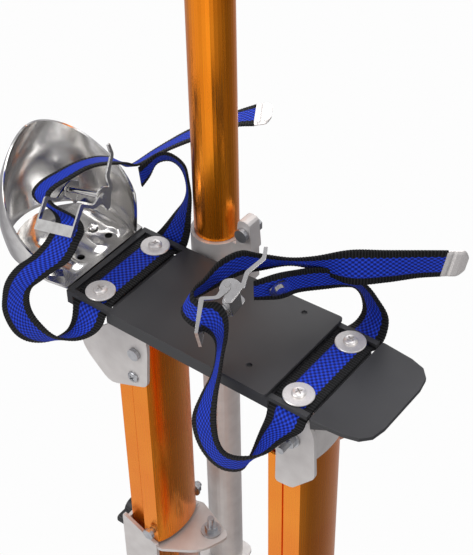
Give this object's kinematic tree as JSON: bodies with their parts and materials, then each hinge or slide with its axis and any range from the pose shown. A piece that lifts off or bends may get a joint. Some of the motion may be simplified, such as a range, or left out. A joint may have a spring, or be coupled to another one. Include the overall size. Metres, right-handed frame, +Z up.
{
  "type": "drywall stilt",
  "caption": "Adjustable walking stilt with sprung floor plate, twin telescopic legs, foot plate with heel cup and buckled straps, side strut and leg band.",
  "frame": {"origin": "centre of the sole's underside, on the floor", "axes": "+X towards the toe, +Y towards the strut on the outer side, +Z up"},
  "size_m": [0.3572, 0.256, 0.8896],
  "materials": {
    "orange_anodised": "satin orange anodised aluminium extrusion",
    "satin_aluminium": "satin, lightly tumbled",
    "bright_steel": "polished nickel plate",
    "zinc_steel": "bright zinc plate",
    "black_coat": "matte black powder coat, fine texture",
    "black_plastic": "matte moulded",
    "sole_rubber": "matte tread rubber",
    "blue_webbing": "woven blue webbing with black borders",
    "black_foam": "fabric-faced foam"
  },
  "bodies": {
    "floor_unit": {"sole_pad": "sole_rubber", "floor_plate": "satin_aluminium", "rear_axle": "zinc_steel", "front_axle": "zinc_steel", "rear_spring_rod": "zinc_steel", "front_spring_rod": "zinc_steel", "rear_spring": "zinc_steel", "front_spring": "zinc_steel", "rear_spring_nut": "zinc_steel", "front_spring_nut": "zinc_steel"},
    "rear_lower": {"rear_leg_foot": "satin_aluminium", "rear_lower_leg": "orange_anodised"},
    "front_lower": {"front_leg_foot": "satin_aluminium", "front_lower_leg": "orange_anodised"},
    "rear_upper": {"rear_upper_leg": "orange_anodised", "rear_leg_clamp": "satin_aluminium", "rear_clamp_bolt": "zinc_steel", "flange_bolt": "zinc_steel", "rear_lock_knob": "black_plastic", "rear_top_bracket": "satin_aluminium", "rear_pivot_bolt": "zinc_steel", "strut_inner_tube": "satin_aluminium", "strut_lower_plug": "zinc_steel", "strut_lower_nut": "zinc_steel", "strut_clamp": "satin_aluminium", "strut_clamp_bolt": "zinc_steel"},
    "front_upper": {"front_upper_leg": "orange_anodised", "front_leg_clamp": "satin_aluminium", "front_clamp_bolt": "zinc_steel", "front_lock_knob": "black_plastic", "front_top_bracket": "satin_aluminium", "front_pivot_bolt": "zinc_steel"},
    "foot": {"foot_base_plate": "black_coat", "foot_deck": "black_coat", "toe_plate": "black_coat", "rear_pivot_bracket": "satin_aluminium", "front_pivot_bracket": "satin_aluminium", "heel_cup": "bright_steel", "heel_inner_strap_screw": "bright_steel", "heel_outer_strap_screw": "bright_steel", "toe_inner_strap_screw": "bright_steel", "toe_outer_strap_screw": "bright_steel", "toe_strap": "blue_webbing", "toe_strap_tip": "bright_steel", "ankle_strap": "blue_webbing", "ankle_strap_tip": "bright_steel", "toe_buckle_frame": "bright_steel", "ankle_buckle_frame": "bright_steel", "toe_strap_rivet": "bright_steel"},
    "strut": {"strut_outer_tube": "orange_anodised", "strut_cap": "black_plastic", "leg_band_bracket": "satin_aluminium", "leg_band_clamp_bolt": "zinc_steel"},
    "leg_band": {"leg_band_shell": "satin_aluminium", "leg_band_pad": "black_foam", "leg_band_hinge": "zinc_steel", "leg_band_strap": "blue_webbing", "leg_band_buckle": "bright_steel"},
    "toe_lever": {"toe_buckle_lever": "bright_steel"},
    "ankle_lever": {"ankle_buckle_lever": "bright_steel"}
  },
  "joints": [
    {"name": "rear_tilt", "type": "hinge", "parent": "floor_unit", "child": "rear_lower", "pos_m": [-0.0813, 0, 0.044], "axis": [0, 1, 0], "range_deg": [-8, 8], "stiffness_Nm_per_rad": 80, "deforming": ["rear_spring"]},
    {"name": "front_tilt", "type": "hinge", "parent": "floor_unit", "child": "front_lower", "pos_m": [0.0647, 0, 0.044], "axis": [0, 1, 0], "range_deg": [-8, 8], "deforming": ["front_spring"]},
    {"name": "rear_extension", "type": "slide", "parent": "rear_lower", "child": "rear_upper", "axis": [0, 0, 1], "range_m": [-0.0254, 0.1778]},
    {"name": "front_extension", "type": "slide", "parent": "front_lower", "child": "front_upper", "axis": [0, 0, 1], "range_m": [-0.0254, 0.1778]},
    {"name": "foot_pivot", "type": "hinge", "parent": "rear_upper", "child": "foot", "pos_m": [-0.0625, 0, 0.4326], "axis": [0, 1, 0], "range_deg": [-8, 8]},
    {"name": "strut_extension", "type": "slide", "parent": "rear_upper", "child": "strut", "axis": [0, 0, 1], "range_m": [0, 0.15]},
    {"name": "leg_band_swivel", "type": "hinge", "parent": "strut", "child": "leg_band", "pos_m": [-0.064, 0.045, 0.8386], "axis": [0, 1, 0], "range_deg": [-15, 15]},
    {"name": "toe_lever_close", "type": "hinge", "parent": "foot", "child": "toe_lever", "pos_m": [0.031, -0.032, 0.5466], "axis": [-0.3003, 0.4504, -0.8408], "range_deg": [0, 80], "deforming": ["toe_strap"]},
    {"name": "ankle_lever_close", "type": "hinge", "parent": "foot", "child": "ankle_lever", "pos_m": [-0.104, -0.024, 0.5646], "axis": [-0.9524, 0.0501, -0.3008], "range_deg": [0, 80], "deforming": ["ankle_strap"]}
  ],
  "couplings": [
    {"joint": "front_tilt", "follows": "rear_tilt", "ratio": 1},
    {"joint": "foot_pivot", "follows": "rear_tilt", "ratio": -1},
    {"joint": "front_extension", "follows": "rear_extension", "ratio": 1}
  ]
}
